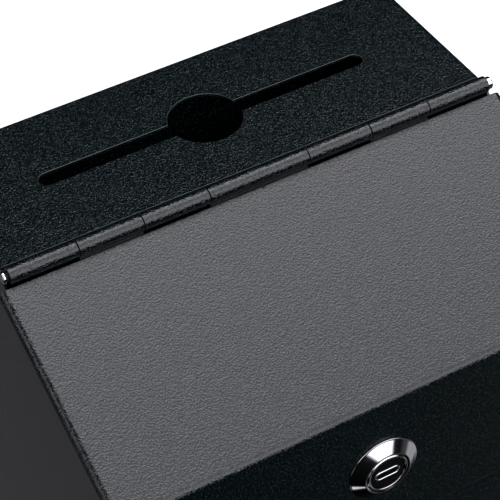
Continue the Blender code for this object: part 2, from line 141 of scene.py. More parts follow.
def shader_group(name, inputs, outputs):
    tree = bpy.data.node_groups.new(name, "ShaderNodeTree")
    for label, kind, value in inputs:
        socket = tree.interface.new_socket(label, in_out="INPUT", socket_type=kind)
        if value is not None:
            socket.default_value = value
    for label, kind in outputs:
        tree.interface.new_socket(label, in_out="OUTPUT", socket_type=kind)
    return tree, tree.nodes.new("NodeGroupInput"), tree.nodes.new("NodeGroupOutput")


FLOAT = "NodeSocketFloat"
VECTOR = "NodeSocketVector"


# ---------------------------------------------------------------- shared finishes


def make_grain_group():
    """Fine orange peel of baked powder, with the odd bright fleck."""
    tree, given, result = shader_group(
        "powder_grain",
        [("Position", VECTOR, None), ("Grain Scale", FLOAT, 1650.0), ("Fleck Scale", FLOAT, 2400.0),
         ("Fleck Share", FLOAT, 0.3)],
        [("Height", FLOAT), ("Fleck", FLOAT), ("Cloud", FLOAT)],
    )
    where = given.outputs["Position"]
    peel = noise(tree, where, given.outputs["Grain Scale"], 1.0, 0.5)
    fine = noise(tree, where, given.outputs["Fleck Scale"], 1.0, 0.5)
    bar = math_node(tree, "SUBTRACT", 1.0, given.outputs["Fleck Share"])
    fleck = spread(tree, fine, bar, math_node(tree, "ADD", bar, 0.1))
    height = math_node(tree, "MULTIPLY_ADD", fleck, 0.05, peel)
    cloud = noise(tree, where, 28.0, 3.0, 0.6)
    wire(tree, height, result.inputs["Height"])
    wire(tree, fleck, result.inputs["Fleck"])
    wire(tree, cloud, result.inputs["Cloud"])
    return tree


def make_dust_group():
    """Thin dust that lies on what faces up, broken into faint drifts."""
    tree, given, result = shader_group(
        "settled_dust",
        [("Position", VECTOR, None), ("Amount", FLOAT, 0.1), ("Patch Scale", FLOAT, 60.0)],
        [("Mask", FLOAT)],
    )
    facing = tree.nodes.new("ShaderNodeNewGeometry")
    split = tree.nodes.new("ShaderNodeSeparateXYZ")
    wire(tree, facing.outputs["Normal"], split.inputs[0])
    up = spread(tree, split.outputs["Z"], 0.35, 0.95)
    drift = noise(tree, given.outputs["Position"], given.outputs["Patch Scale"], 4.0, 0.65)
    speck = noise(tree, given.outputs["Position"], 1900.0, 1.0, 0.5)
    drift = spread(tree, drift, 0.35, 0.75)
    speck = spread(tree, speck, 0.5, 0.72)
    share = math_node(tree, "MULTIPLY", drift, math_node(tree, "MULTIPLY_ADD", speck, 0.6, 0.4))
    lying = math_node(tree, "MULTIPLY", share, up)
    wire(tree, math_node(tree, "MULTIPLY", lying, given.outputs["Amount"]), result.inputs["Mask"])
    return tree


def make_scuff_group():
    """Hairline rub marks, a few millimetres long and mostly one way."""
    tree, given, result = shader_group(
        "hairline_scuffs",
        [("Position", VECTOR, None), ("Stretch", VECTOR, (900.0, 40.0, 40.0)), ("Share", FLOAT, 0.3)],
        [("Mask", FLOAT), ("Height", FLOAT)],
    )
    scaled = tree.nodes.new("ShaderNodeVectorMath")
    scaled.operation = "MULTIPLY"
    wire(tree, given.outputs["Position"], scaled.inputs[0])
    wire(tree, given.outputs["Stretch"], scaled.inputs[1])
    line = noise(tree, scaled.outputs["Vector"], 1.0, 2.0, 0.6)
    area = noise(tree, given.outputs["Position"], 45.0, 2.0, 0.5)
    mark = spread(tree, line, math_node(tree, "SUBTRACT", 1.0, given.outputs["Share"]), 0.85)
    mask = math_node(tree, "MULTIPLY", mark, spread(tree, area, 0.45, 0.65))
    wire(tree, mask, result.inputs["Mask"])
    wire(tree, line, result.inputs["Height"])
    return tree


GRAIN = make_grain_group()
DUST = make_dust_group()
SCUFFS = make_scuff_group()


def placed_group(tree, group, values):
    node = tree.nodes.new("ShaderNodeGroup")
    node.node_tree = group
    for name, value in values.items():
        if isinstance(value, (int, float, tuple)):
            node.inputs[name].default_value = value
        else:
            wire(tree, value, node.inputs[name])
    return node.outputs


def new_material(name, colour, roughness, metallic=0.0, specular=0.5):
    mat = bpy.data.materials.new(name)
    mat.use_nodes = True
    tree = mat.node_tree
    shader = tree.nodes["Principled BSDF"]
    shader.inputs["Base Color"].default_value = (*colour, 1.0)
    shader.inputs["Roughness"].default_value = roughness
    shader.inputs["Metallic"].default_value = metallic
    shader.inputs["Specular IOR Level"].default_value = specular
    place = tree.nodes.new("ShaderNodeTexCoord").outputs["Object"]
    return mat, tree, shader, place


def bumped(tree, shader, height, strength, distance):
    node = tree.nodes.new("ShaderNodeBump")
    node.inputs["Strength"].default_value = strength
    node.inputs["Distance"].default_value = distance
    wire(tree, height, node.inputs["Height"])
    wire(tree, node.outputs["Normal"], shader.inputs["Normal"])


def powder_coat(
    name, colour, roughness, bump=0.9, dust=0.004, flecks=0.39,
    fleck_colour=(0.042, 0.056, 0.06), specular=0.5,
):
    """Baked black powder coat."""
    mat, tree, shader, place = new_material(name, colour, roughness, specular=specular)
    grain = placed_group(tree, GRAIN, {"Position": place, "Fleck Share": flecks})
    lying = placed_group(tree, DUST, {"Position": place, "Amount": dust})
    base = mix_colour(tree, grain["Fleck"], colour, fleck_colour)
    base = mix_colour(tree, lying["Mask"], base, (0.32, 0.31, 0.29))
    wire(tree, base, shader.inputs["Base Color"])
    gloss = spread(tree, grain["Cloud"], 0.3, 0.7, roughness - 0.008, roughness + 0.008)
    gloss = math_node(tree, "MULTIPLY_ADD", lying["Mask"], 0.5, gloss)
    gloss = math_node(tree, "MULTIPLY_ADD", grain["Fleck"], -0.05, gloss)
    wire(tree, gloss, shader.inputs["Roughness"])
    bumped(tree, shader, grain["Height"], bump, GRAIN_HEIGHT)
    return mat


def plated(name, colour, roughness, stretch, scuff_share=0.3, bump=0.05):
    """Bright plating with hairline rub marks."""
    mat, tree, shader, place = new_material(name, colour, roughness, 1.0)
    marks = placed_group(tree, SCUFFS, {"Position": place, "Stretch": stretch, "Share": scuff_share})
    dull = tuple(c * 0.86 for c in colour)
    wire(tree, mix_colour(tree, marks["Mask"], colour, dull), shader.inputs["Base Color"])
    gloss = spread(tree, marks["Mask"], 0.0, 1.0, roughness, roughness + 0.16)
    wire(tree, gloss, shader.inputs["Roughness"])
    bumped(tree, shader, marks["Height"], bump, SCUFF_DEPTH)
    return mat


def moulded(name, colour, roughness, scale, bump):
    """Rubber or foam: fine closed cells, a little mottled."""
    mat, tree, shader, place = new_material(name, colour, roughness)
    grain = placed_group(
        tree, GRAIN,
        {"Position": place, "Grain Scale": scale, "Fleck Scale": scale * 2.0, "Fleck Share": 0.25},
    )
    pale = tuple(c * 1.7 + 0.004 for c in colour)
    wire(tree, mix_colour(tree, grain["Cloud"], colour, pale), shader.inputs["Base Color"])
    gloss = spread(tree, grain["Height"], 0.3, 1.0, roughness - 0.08, roughness)
    wire(tree, gloss, shader.inputs["Roughness"])
    bumped(tree, shader, grain["Height"], bump, GRAIN_HEIGHT)
    return mat


POWDER = powder_coat("powder_coat", (0.0002, 0.0026, 0.003), 0.165)
# Darker, duller coat for the gap under the hinge barrel: partly thin powder in the crevice, partly painted
# shade where the barrel shadows the leaf.
THIN_COAT_AND_GAP_SHADE = powder_coat(
    "thin_coat_in_gaps", (0.0003, 0.0012, 0.0014), 0.5, bump=1.0, dust=0.0, flecks=0.42,
    fleck_colour=(0.02, 0.024, 0.026), specular=0.15,
)
# Lighter coat on the rounded sheet edges: a painted edge highlight.
EDGE_HIGHLIGHT_COAT = powder_coat(
    "powder_coat_on_cut_edges", (0.012, 0.014, 0.0145), 0.3, bump=0.5, dust=0.0, flecks=0.4
)
INSIDE = powder_coat("powder_coat_inside", (0.006, 0.008, 0.0085), 0.42, bump=0.4, dust=0.12)
CHROME = plated("bright_chrome", (0.72, 0.74, 0.76), 0.07, (260.0, 260.0, 260.0), 0.25, 0.02)
PLUG_CHROME = plated("plug_chrome", (0.66, 0.67, 0.68), 0.12, (900.0, 900.0, 60.0), 0.35, 0.04)
ZINC = plated("zinc_plate", (0.3, 0.31, 0.31), 0.34, (700.0, 90.0, 90.0), 0.45, 0.08)
BRASS = plated("stamped_brass", (0.5, 0.35, 0.15), 0.28, (90.0, 90.0, 900.0), 0.4, 0.08)
FACE_BLACK = powder_coat("lock_face_black", (0.0012, 0.0014, 0.0015), 0.12, bump=0.03, dust=0.0, flecks=0.2)
RUBBER = moulded("foot_rubber", (0.012, 0.012, 0.012), 0.7, 1800.0, 0.3)
FOAM = moulded("pad_foam", (0.02, 0.02, 0.021), 0.9, 1300.0, 0.8)


# ---------------------------------------------------------------- piece helpers


def link_piece(name, mesh, materials):
    piece = bpy.data.objects.new(name, mesh)
    WORKSHOP.objects.link(piece)
    mesh.materials.clear()
    for mat in materials:
        mesh.materials.append(mat)
    return piece


def settle(piece, place=None):
    """Keep the modified shape as a plain mesh with its place in its points."""
    bpy.context.view_layer.update()
    graph = bpy.context.evaluated_depsgraph_get()
    mesh = bpy.data.meshes.new_from_object(
        piece.evaluated_get(graph), preserve_all_data_layers=True, depsgraph=graph
    )
    piece.modifiers.clear()
    old = piece.data
    piece.data = mesh
    mesh.name = piece.name
    if old.users == 0 and isinstance(old, bpy.types.Mesh):
        bpy.data.meshes.remove(old)
    if place is not None:
        mesh.transform(place)
    return piece


def finish_piece(piece, body, slot, *nodes):
    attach(piece, body)
    if nodes:
        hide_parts(*nodes)
    return piece


def round_edges(piece, width, angle=35.0, segments=2, material=-1):
    """Small rounding on sharp edges, with flats that stay flat under smooth shading."""
    piece.data.shade_smooth()
    bevel = piece.modifiers.new("edges", "BEVEL")
    bevel.width = width * MM
    bevel.segments = segments
    bevel.limit_method = "ANGLE"
    bevel.angle_limit = math.radians(angle)
    bevel.harden_normals = False
    bevel.material = material
    bevel.use_clamp_overlap = True
    level = piece.modifiers.new("flats", "WEIGHTED_NORMAL")
    level.mode = "FACE_AREA"
    level.weight = 60
    level.keep_sharp = True


def skin(name, node, materials, width=0.16, edge_material=-1):
    """A welded copy of a sheet part, its flats merged and its edges rounded."""
    bm = bmesh.new()
    bm.from_mesh(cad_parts[node].data)
    bmesh.ops.remove_doubles(bm, verts=bm.verts[:], dist=0.000002)
    bmesh.ops.dissolve_limit(bm, angle_limit=math.radians(0.4), verts=bm.verts[:], edges=bm.edges[:])
    bmesh.ops.recalc_face_normals(bm, faces=bm.faces[:])
    for face in bm.faces:
        face.material_index = 0
    mesh = bpy.data.meshes.new(name)
    bm.to_mesh(mesh)
    bm.free()
    piece = link_piece(name, mesh, materials)
    round_edges(piece, width, material=edge_material)
    return settle(piece)


def turned(name, profile, materials, steps=96, place=None, smooth_angle=40.0):
    """Turn an outline, listed down its outer side from the top, about Z."""
    mesh = bpy.data.meshes.new(name)
    points = [(x * MM, 0.0, z * MM) for x, z in profile]
    mesh.from_pydata(points, [(i, i + 1) for i in range(len(points) - 1)], [])
    piece = link_piece(name, mesh, materials)
    turn = piece.modifiers.new("turn", "SCREW")
    turn.axis = "Z"
    turn.angle = math.tau
    turn.steps = steps
    turn.render_steps = steps
    turn.use_merge_vertices = True
    turn.merge_threshold = 0.000005
    turn.use_smooth_shade = True
    settle(piece)
    bm = bmesh.new()
    bm.from_mesh(piece.data)
    bmesh.ops.remove_doubles(bm, verts=bm.verts[:], dist=0.000005)
    bmesh.ops.recalc_face_normals(bm, faces=bm.faces[:])
    bm.to_mesh(piece.data)
    bm.free()
    piece.data.set_sharp_from_angle(angle=math.radians(smooth_angle))
    if place is not None:
        piece.data.transform(place)
    return piece


def softened(points, radius, segments=4, closed=False):
    """Round the corners of an outline."""
    count = len(points)
    out = []
    for i, point in enumerate(points):
        here = Vector(point)
        if not closed and i in (0, count - 1):
            out.append(tuple(here))
            continue
        before = Vector(points[i - 1]) - here
        after = Vector(points[(i + 1) % count]) - here
        reach = min(radius, before.length * 0.45, after.length * 0.45)
        start = here + before.normalized() * reach
        end = here + after.normalized() * reach
        for k in range(segments + 1):
            t = k / segments
            out.append(tuple(start * (1 - t) ** 2 + here * 2 * t * (1 - t) + end * t ** 2))
    return out


# ---------------------------------------------------------------- geometry node helpers


def geometry_tree(name, sizes):
    tree = bpy.data.node_groups.new(name, "GeometryNodeTree")
    tree.interface.new_socket("Geometry", in_out="INPUT", socket_type="NodeSocketGeometry")
    for label, kind, value in sizes:
        socket = tree.interface.new_socket(label, in_out="INPUT", socket_type=kind)
        if value is not None:
            socket.default_value = value
    tree.interface.new_socket("Geometry", in_out="OUTPUT", socket_type="NodeSocketGeometry")
    return tree, tree.nodes.new("NodeGroupInput"), tree.nodes.new("NodeGroupOutput")


def add_node(tree, kind, settings=None, **sockets):
    node = tree.nodes.new(kind)
    for name, value in (settings or {}).items():
        setattr(node, name, value)
    for name, value in sockets.items():
        slot = node.inputs[name.replace("_", " ")]
        if isinstance(value, bpy.types.NodeSocket):
            wire(tree, value, slot)
        else:
            slot.default_value = value
    return node


def finish_tree(tree, result, shape, material_socket, smooth=True):
    """Every tree ends in real geometry that carries its material."""
    real = add_node(tree, "GeometryNodeRealizeInstances", Geometry=shape)
    shaded = add_node(tree, "GeometryNodeSetShadeSmooth", Geometry=real.outputs[0])
    shaded.inputs["Shade Smooth"].default_value = smooth
    painted = add_node(
        tree, "GeometryNodeSetMaterial", Geometry=shaded.outputs[0], Material=material_socket
    )
    wire(tree, painted.outputs[0], result.inputs["Geometry"])


def grown(name, tree, values, start=None, place=None):
    """Run a tree on a start mesh and keep its result as a plain mesh."""
    mesh = start or bpy.data.meshes.new(name)
    piece = bpy.data.objects.new(name, mesh)
    WORKSHOP.objects.link(piece)
    tool = piece.modifiers.new("grow", "NODES")
    tool.node_group = tree
    for item in tree.interface.items_tree:
        if item.item_type == "SOCKET" and item.in_out == "INPUT" and item.name in values:
            tool[item.identifier] = values[item.name]
    return settle(piece, place)


def make_repeat_tree():
    """Set one shape on every point of the start mesh, turned so that its Z follows a given way."""
    tree, given, result = geometry_tree(
        "repeat_at_points",
        [("Shape", "NodeSocketObject", None), ("Turn", "NodeSocketRotation", None),
         ("Material", "NodeSocketMaterial", None)],
    )
    points = add_node(tree, "GeometryNodeMeshToPoints", Mesh=given.outputs["Geometry"])
    shape = add_node(tree, "GeometryNodeObjectInfo", Object=given.outputs["Shape"])
    shape.inputs["As Instance"].default_value = True
    copies = add_node(
        tree, "GeometryNodeInstanceOnPoints", Points=points.outputs[0], Instance=shape.outputs["Geometry"],
        Rotation=given.outputs["Turn"],
    )
    finish_tree(tree, result, copies.outputs[0], given.outputs["Material"])
    return tree


def make_helix_tree():
    """A round or pointed ridge that follows a helix."""
    tree, given, result = geometry_tree(
        "ridge_along_helix",
        [("Radius", FLOAT, 0.009), ("Turns", FLOAT, 10.0), ("Height", FLOAT, 0.01),
         ("Ridge Radius", FLOAT, 0.0005), ("Ridge Sides", "NodeSocketInt", 8),
         ("Steps", "NodeSocketInt", 36), ("Material", "NodeSocketMaterial", None)],
    )
    helix = add_node(
        tree, "GeometryNodeCurveSpiral", Resolution=given.outputs["Steps"],
        Rotations=given.outputs["Turns"], Height=given.outputs["Height"],
    )
    wire(tree, given.outputs["Radius"], helix.inputs["Start Radius"])
    wire(tree, given.outputs["Radius"], helix.inputs["End Radius"])
    section = add_node(tree, "GeometryNodeCurvePrimitiveCircle", Resolution=given.outputs["Ridge Sides"])
    wire(tree, given.outputs["Ridge Radius"], section.inputs["Radius"])
    ridge = add_node(tree, "GeometryNodeCurveToMesh", Curve=helix.outputs[0])
    wire(tree, section.outputs[0], ridge.inputs["Profile Curve"])
    ridge.inputs["Fill Caps"].default_value = True
    finish_tree(tree, result, ridge.outputs[0], given.outputs["Material"])
    return tree


def make_tooth_tree():
    """Teeth spaced evenly round a ring, each leaning out of the ring's plane."""
    tree, given, result = geometry_tree(
        "teeth_round_ring",
        [("Ring Radius", FLOAT, 0.0098), ("Count", "NodeSocketInt", 12),
         ("Tooth Size", VECTOR, (0.002, 0.002, 0.0006)), ("Lean", FLOAT, 0.3),
         ("Material", "NodeSocketMaterial", None)],
    )
    ring = add_node(
        tree, "GeometryNodeMeshCircle", Vertices=given.outputs["Count"], Radius=given.outputs["Ring Radius"]
    )
    tooth = add_node(tree, "GeometryNodeMeshCube", Size=given.outputs["Tooth Size"])
    where = add_node(tree, "GeometryNodeInputPosition")
    aim = tree.nodes.new("FunctionNodeAlignEulerToVector")
    aim.axis = "X"
    wire(tree, where.outputs[0], aim.inputs["Vector"])
    copies = add_node(
        tree, "GeometryNodeInstanceOnPoints", Points=ring.outputs[0], Instance=tooth.outputs["Mesh"]
    )
    wire(tree, aim.outputs[0], copies.inputs["Rotation"])
    lean = tree.nodes.new("ShaderNodeCombineXYZ")
    wire(tree, given.outputs["Lean"], lean.inputs["X"])
    tilted = add_node(tree, "GeometryNodeRotateInstances", Instances=copies.outputs[0])
    wire(tree, lean.outputs[0], tilted.inputs["Rotation"])
    finish_tree(tree, result, tilted.outputs[0], given.outputs["Material"], smooth=False)
    return tree


REPEAT = make_repeat_tree()
HELIX = make_helix_tree()
TEETH = make_tooth_tree()


def point_mesh(name, points):
    mesh = bpy.data.meshes.new(name)
    mesh.from_pydata([Vector(p) * MM for p in points], [], [])
    return mesh


def repeated(name, shape, points, material, turn=(0.0, 0.0, 0.0)):
    """Copies of one shape, set on points, as one piece."""
    values = {"Shape": shape, "Material": material, "Turn": Euler(turn)}
    piece = grown(name, REPEAT, values, start=point_mesh(name, points))
    bpy.data.objects.remove(shape)
    return piece


# ---------------------------------------------------------------- casing and panels


def make_sheet_parts():
    # The second material goes on the rounded edges, where its lighter colour is a painted edge highlight.
    for node, name, mats in (
        ("casing", "casing_sheet", (POWDER, EDGE_HIGHLIGHT_COAT)),
        ("front_panel", "front_wall", (POWDER, EDGE_HIGHLIGHT_COAT)),
        ("back_panel", "back_wall", (POWDER, EDGE_HIGHLIGHT_COAT)),
        ("floor_panel", "floor_tray", (INSIDE, EDGE_HIGHLIGHT_COAT)),
        ("hinge_leaf_body", "hinge_half_body", (POWDER, EDGE_HIGHLIGHT_COAT)),
    ):
        piece = skin(name, node, mats, edge_material=1)
        finish_piece(piece, "body", "powder", node)
    for node, name in (("lid_panel", "lid_sheet"), ("hinge_leaf_lid", "hinge_half_lid")):
        piece = skin(name, node, (POWDER, EDGE_HIGHLIGHT_COAT, THIN_COAT_AND_GAP_SHADE), edge_material=1)
        # The lid leaf's faces just below the barrel take the darker coat, as painted shade of the gap.
        if node == "hinge_leaf_lid":
            thin_coat_and_shade_below_barrel(piece)
        finish_piece(piece, "lid", "powder", node)


def thin_coat_and_shade_below_barrel(piece):
    """The coat is darker and duller where the leaf leaves the barrel: partly thin powder, partly painted
    shade of the gap under the barrel.
    """
    hinge = Vector((0.0, HINGE_Y, HINGE_Z)) * MM
    for face in piece.data.polygons:
        away = face.center - hinge
        below = away.dot(LID_NORMAL) / MM
        along = away.dot(LID_FORWARD) / MM
        if below < -1.6 and along > -1.0:
            face.material_index = 2


def make_pin_ends():
    """Hinge pin with a domed head, and the matching cap at its other end."""
    low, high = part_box("hinge_pin")
    cap_low, cap_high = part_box("hinge_pin_cap")
    dome = []
    for i in range(13):
        a = math.radians(90 - 90 * i / 12)
        dome.append((PIN_HEAD * math.cos(a), DOME_HEIGHT * math.sin(a)))
    shank_end = -PIN_SHANK - 0.5
    pin = dome + [(PIN_HEAD, -0.25), (1.95, -0.5), (1.6, -0.5), (1.6, shank_end), (0.0, shank_end)]
    rim = DOME_HEIGHT - (cap_high.x - cap_low.x) / MM
    cap = dome + [(PIN_HEAD, rim), (0.0, rim)]
    for side, name, node, profile, end in (
        (-1, "pin_and_head", "hinge_pin", pin, low.x / MM),
        (1, "pin_cap", "hinge_pin_cap", cap, cap_high.x / MM),
    ):
        turn = Matrix.Rotation(math.radians(90 * side), 4, "Y")
        place = Matrix.Translation(Vector((end - side * DOME_HEIGHT, HINGE_Y, HINGE_Z)) * MM) @ turn
        piece = turned(name, profile, (CHROME, THIN_COAT_AND_GAP_SHADE), steps=48, place=place)
        # The shaft inside the barrel takes the same darker coat: painted over, and painted shade where it
        # shows in the knuckle seams.
        for face in piece.data.polygons:
            if abs(face.center.x) < HINGE_HALF * MM:
                face.material_index = 1
        finish_piece(piece, "body", "chrome", node)


# ---------------------------------------------------------------- lock


def make_lock_head():
    """Conical bezel and plain collar, the visible end of the lock's housing."""
    profile = softened(
        [(7.9, 3.05), (8.15, 3.2), (8.5, 3.2), (12.2, 0.65), (BEZEL_RADIUS, 0.5), (BEZEL_RADIUS, 0.3),
         (THREAD_RADIUS - 0.45, 0.3), (THREAD_RADIUS - 0.45, -16.0), (PLUG_RADIUS + 0.3, -16.0),
         (PLUG_RADIUS + 0.3, -0.9), (7.9, -0.9), (7.9, 3.05)],
        0.12, 3,
    )
    head = turned("lock_head", profile, (CHROME,), steps=128, place=LOCK_PLACE, smooth_angle=28)
    finish_piece(head, "lid", "chrome", "lock_housing")
    turns = 14.0
    thread = grown(
        "lock_thread",
        HELIX,
        {"Radius": (THREAD_RADIUS - 0.5) * MM, "Turns": turns, "Height": -turns * THREAD_PITCH * MM,
         "Ridge Radius": 0.48 * MM, "Ridge Sides": 6, "Steps": 40, "Material": CHROME},
        place=LOCK_PLACE @ Matrix.Translation(Vector((0.0, 0.0, -1.2)) * MM),
    )
    finish_piece(thread, "lid", "chrome")


def make_lock_core():
    profile = softened(
        [(6.6, 1.6), (6.6, 3.15), (6.95, 3.3), (7.3, 3.3), (HEAD_RADIUS, 3.0), (HEAD_RADIUS, -0.6),
         (PLUG_RADIUS, -0.6), (PLUG_RADIUS, -17.5), (4.3, -17.5), (4.3, -20.0), (0.0, -20.0)],
        0.12, 3,
    )
    profile = [(0.0, 1.6)] + profile
    plug = turned("lock_core", profile, (PLUG_CHROME,), steps=96, place=LOCK_PLACE, smooth_angle=28)
    chamber = box_cutter((-5.3, -2.9, -3.9), (5.3, 3.3, 4.0))
    keyway = box_cutter((-KEY_HALF, -KEY_THICK, -11.7), (KEY_HALF, KEY_THICK, -3.0))
    cut_with(plug, [chamber, keyway])
    finish_piece(plug, "plug", "chrome", "lock_plug")


def box_cutter(low, high):
    """A box in the lock's own frame, to be cut out of a lock part."""
    mesh = bpy.data.meshes.new("cutter")
    bm = bmesh.new()
    bmesh.ops.create_cube(bm, size=1.0)
    size = Vector(high) - Vector(low)
    centre = (Vector(high) + Vector(low)) / 2
    shape = Matrix.Translation(centre * MM) @ Matrix.Diagonal((*(size * MM), 1.0))
    bmesh.ops.transform(bm, matrix=shape, verts=bm.verts)
    bmesh.ops.transform(bm, matrix=LOCK_PLACE, verts=bm.verts)
    bm.to_mesh(mesh)
    bm.free()
    cutter = bpy.data.objects.new("cutter", mesh)
    WORKSHOP.objects.link(cutter)
    cutter.hide_render = True
    return cutter


def cut_with(piece, cutters):
    for cutter in cutters:
        tool = piece.modifiers.new("cut", "BOOLEAN")
        tool.operation = "DIFFERENCE"
        tool.solver = "EXACT"
        tool.object = cutter
    settle(piece)
    for cutter in cutters:
        bpy.data.objects.remove(cutter)
    piece.data.set_sharp_from_angle(angle=math.radians(30))


def make_lock_face():
    """Black face plate with a rounded key slot."""
    face = turned(
        "lock_face_plate",
        [(0.0, SLOT_FACE)] + softened([(6.1, SLOT_FACE), (6.3, 2.6), (6.3, 1.9), (0.0, 1.9)], 0.1, 2),
        (FACE_BLACK,), steps=96, place=LOCK_PLACE, smooth_angle=28,
    )
    cut_with(face, [box_cutter((-KEY_HALF, -KEY_THICK, 0.0), (KEY_HALF, KEY_THICK, 4.0))])
    finish_piece(face, "plug", "black", "lock_face")


def make_keyway_rim():
    """Bright raised rim round the key slot."""
    half, radius, wire_radius = 2.9, 1.55, 0.28
    outline = []
    for side in (1, -1):
        for i in range(13):
            a = math.radians(180 * i / 12 - 90 * side)
            outline.append((side * half + radius * math.cos(a), radius * math.sin(a)))
    curve = bpy.data.curves.new("keyway_rim", "CURVE")
    curve.dimensions = "3D"
    spline = curve.splines.new("POLY")
    spline.points.add(len(outline) - 1)
    for point, (x, y) in zip(spline.points, outline):
        point.co = (x * MM, y * MM, (SLOT_FACE + 0.02) * MM, 1.0)
    spline.use_cyclic_u = True
    curve.bevel_depth = wire_radius * MM
    curve.bevel_resolution = 3
    rim = bpy.data.objects.new("keyway_rim", curve)
    WORKSHOP.objects.link(rim)
    curve.materials.append(CHROME)
    bpy.context.view_layer.update()
    mesh = bpy.data.meshes.new_from_object(rim.evaluated_get(bpy.context.evaluated_depsgraph_get()))
    bpy.data.objects.remove(rim)
    mesh.transform(LOCK_PLACE)
    mesh.shade_smooth()
    rim = link_piece("keyway_rim", mesh, (CHROME,))
    finish_piece(rim, "plug", "chrome")


def make_copies_of_small_parts():
    for node, name, mats, body, slot in (
        ("lock_shutter", "key_shutter", (ZINC,), "shutter", "steel"),
        ("shutter_pin", "key_shutter_pin", (ZINC,), "plug", "steel"),
        ("lock_nut", "lock_ring_nut", (ZINC,), "lid", "steel"),
        ("lock_cam", "cam_plate", (ZINC,), "plug", "steel"),
        ("cam_screw", "cam_fixing_screw", (ZINC,), "plug", "steel"),
        ("cam_washer", "cam_flat_washer", (ZINC,), "plug", "steel"),
        ("rattle_pad_left", "pad_left", (FOAM,), "body", "foam"),
        ("rattle_pad_right", "pad_right", (FOAM,), "body", "foam"),
    ):
        piece = skin(name, node, mats, width=0.12)
        finish_piece(piece, body, slot, node)


def make_lock_washer():
    place = LOCK_PLACE @ Matrix.Translation(Vector((0.0, 0.0, -1.7)) * MM)
    ring = turned(
        "tooth_washer_ring",
        softened([(11.9, 0.25), (11.9, -0.25), (10.4, -0.25), (10.4, 0.25), (11.9, 0.25)], 0.1, 2),
        (ZINC,), steps=64, place=place,
    )
    finish_piece(ring, "lid", "steel", "lock_washer")
    teeth = grown(
        "tooth_washer_teeth",
        TEETH,
        {"Ring Radius": 10.15 * MM, "Count": 14, "Tooth Size": (1.3 * MM, 1.5 * MM, 0.4 * MM), "Lean": 0.28,
         "Material": ZINC},
        place=place,
    )
    finish_piece(teeth, "lid", "steel")


def make_wafer_stack():
    nodes = ["wafer_%d" % (i + 1) for i in range(5)]
    shape = skin("wafer_shape", nodes[0], (BRASS,), width=0.08)
    middle = (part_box(nodes[0])[0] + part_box(nodes[0])[1]) / 2
    shape.data.transform(Matrix.Translation(-middle))
    points = []
    for node in nodes:
        low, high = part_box(node)
        points.append(((low + high) / 2) / MM)
    stack = repeated("wafer_stack", shape, points, BRASS)
    finish_piece(stack, "plug", "brass", *nodes)


def make_shutter_coil():
    low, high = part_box("shutter_spring")
    middle = (low + high) / 2
    wire_radius = 0.1 * MM
    start = Vector((low.x + wire_radius, middle.y, middle.z))
    place = Matrix.Translation(start) @ Matrix.Rotation(math.radians(90), 4, "Y")
    coil = grown(
        "shutter_coil",
        HELIX,
        {"Radius": 0.6 * MM, "Turns": 5.0, "Height": high.x - low.x - 2 * wire_radius,
         "Ridge Radius": wire_radius, "Ridge Sides": 8, "Steps": 28, "Material": ZINC},
        place=place,
    )
    finish_piece(coil, "plug", "steel", "shutter_spring")


def make_feet():
    nodes = ["foot_front_left", "foot_front_right", "foot_back_left", "foot_back_right"]
    shape = turned(
        "foot_shape",
        [(0.0, 2.7)] + softened(
            [(7.0, 2.7), (6.6, 0.6), (6.0, 0.0), (2.6, 0.0), (2.2, 0.5), (0.0, 0.5)], 0.3, 3
        ),
        (RUBBER,), steps=48,
    )
    points = []
    for node in nodes:
        low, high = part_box(node)
        points.append((Vector(((low.x + high.x) / 2, (low.y + high.y) / 2, 0.0))) / MM)
    feet = repeated("rubber_feet", shape, points, RUBBER)
    finish_piece(feet, "body", "rubber", *nodes)


def make_weld_marks():
    """Shallow spot weld rings that hold the hinge leaf, seen from inside."""
    low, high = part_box("hinge_leaf_body")
    ring = turned(
        "leaf_weld_shape",
        [(0.9, 0.05), (1.5, 0.1), (2.3, 0.06), (2.6, 0.0), (2.2, -0.05), (0.9, -0.05), (0.9, 0.05)],
        (INSIDE,), steps=24,
    )
    span = (high.x - low.x) / MM - 24.0
    count = 6
    points = [(-span / 2 + span * i / (count - 1), 20.5, low.z / MM) for i in range(count)]
    welds = repeated("leaf_welds", ring, points, INSIDE, turn=(math.radians(180), 0.0, 0.0))
    finish_piece(welds, "body", "powder")


make_sheet_parts()
make_pin_ends()
make_lock_head()
make_lock_core()
make_lock_face()
make_keyway_rim()
make_copies_of_small_parts()
make_lock_washer()
make_wafer_stack()
make_shutter_coil()
make_feet()
make_weld_marks()


# ---------------------------------------------------------------- studio


# The camera stands above the front left corner: its place in metres, its turn in degrees, its lens in mm.
CAMERA_PLACE = (-0.219115, -0.418273, 0.628505)
CAMERA_TURN = (46.7949, 2.5441, -29.2483)
CAMERA_LENS = 140.86


